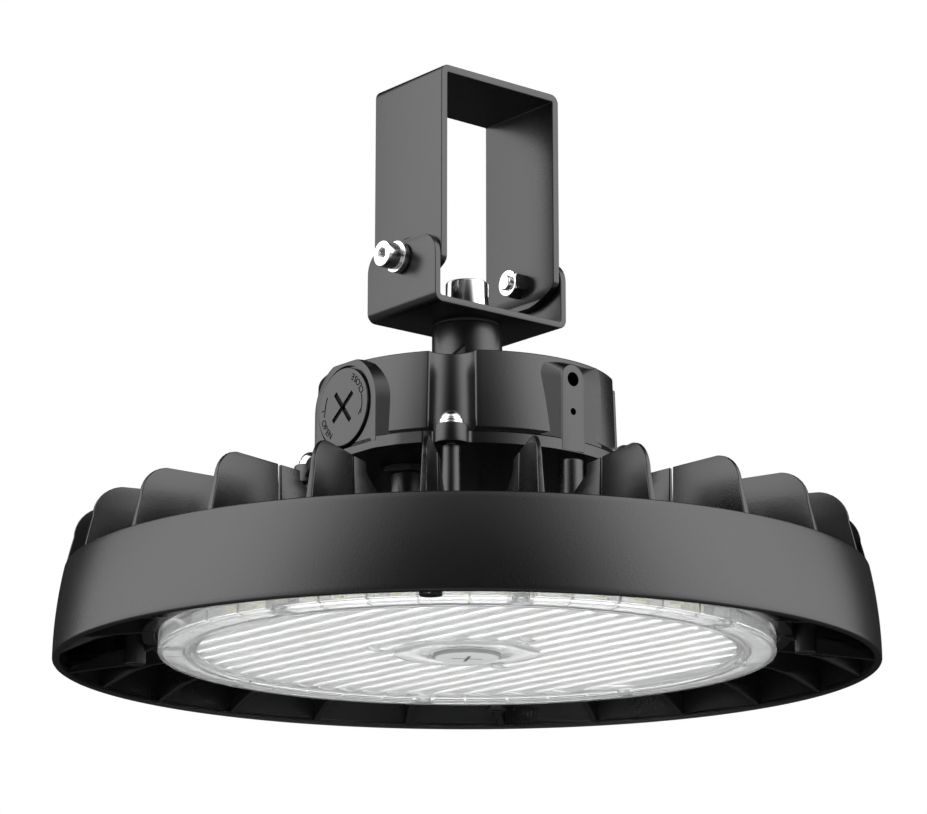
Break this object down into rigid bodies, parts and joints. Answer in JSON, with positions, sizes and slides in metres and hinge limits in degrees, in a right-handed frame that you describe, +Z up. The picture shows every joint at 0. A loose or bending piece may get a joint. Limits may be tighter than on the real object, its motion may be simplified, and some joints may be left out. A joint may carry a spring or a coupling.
{
  "type": "high bay light",
  "caption": "Round finned high bay light with a clear ribbed lens, a driver housing above and a swivelling, tilting yoke for surface mounting.",
  "frame": {"origin": "centre of the shroud's bottom rim", "axes": "+Z up along the light's axis, +X along the yoke's pivot bolts"},
  "size_m": [0.402, 0.402, 0.2965],
  "materials": {
    "cast_black": "satin black powder coat on cast aluminium",
    "sheet_black": "satin black powder coat on bent steel strip",
    "bright_steel": "bright plated steel",
    "clear_lens": "clear polycarbonate",
    "board_white": "white solder mask on aluminium board",
    "chip_yellow": "phosphor",
    "seal_rubber": "matt silicone",
    "cap_black": "fine matt",
    "cap_grey": "fine matt",
    "inner_grey": "bare cast aluminium",
    "driver_grey": "potting compound in a plastic case"
  },
  "bodies": {
    "luminaire": {"outer_ring": "cast_black", "heat_sink": "cast_black", "housing_posts": "cast_black", "side_posts": "cast_black", "wire_turret": "cast_black", "ring_screws": "bright_steel", "lens_cover": "clear_lens", "lens_gasket": "seal_rubber", "lens_screws": "bright_steel", "led_board": "board_white", "led_chips": "chip_yellow", "board_screws": "bright_steel", "sensor_socket": "cap_grey", "sensor_socket_seal": "seal_rubber", "driver_housing": "cast_black", "housing_base": "cast_black", "housing_gasket": "seal_rubber", "base_screws": "bright_steel", "wire_nipple": "cap_black", "nipple_nut": "cap_black", "nipple_seal": "seal_rubber", "driver_module": "driver_grey", "driver_screws": "bright_steel", "terminal_block": "cap_grey", "port_receptacle": "cap_black", "housing_screws": "bright_steel", "housing_washers": "bright_steel", "housing_spring_washers": "bright_steel", "swivel_liner": "seal_rubber", "swivel_bolt": "bright_steel", "swivel_spring_washer": "bright_steel", "swivel_plain_washer": "bright_steel"},
    "cradle": {"cradle": "sheet_black", "pivot_bolts": "bright_steel", "pivot_spring_washers": "bright_steel", "pivot_washers": "bright_steel", "pivot_liners": "seal_rubber", "pivot_nuts": "bright_steel"},
    "bracket": {"upper_bracket": "sheet_black"},
    "port_cap": {"port_cap": "cap_black", "port_cap_seal": "seal_rubber"},
    "sensor_cap": {"sensor_cap": "cap_grey", "sensor_cap_seal": "seal_rubber"}
  },
  "joints": [
    {"name": "yoke_swivel", "type": "hinge", "parent": "luminaire", "child": "cradle", "pos_m": [0, 0, 0.175], "axis": [0, 0, 1], "range_deg": [-180, 180]},
    {"name": "yoke_tilt", "type": "hinge", "parent": "cradle", "child": "bracket", "pos_m": [0, 0, 0.2009], "axis": [1, 0, 0], "range_deg": [-35, 35]},
    {"name": "port_cap_turn", "type": "hinge", "parent": "luminaire", "child": "port_cap", "pos_m": [-0.0755, 0, 0.1191], "axis": [-1, 0, 0], "range_deg": [0, 90]},
    {"name": "sensor_cap_turn", "type": "hinge", "parent": "luminaire", "child": "sensor_cap", "pos_m": [0, 0, 0.006], "axis": [0, 0, -1], "range_deg": [0, 90]}
  ]
}
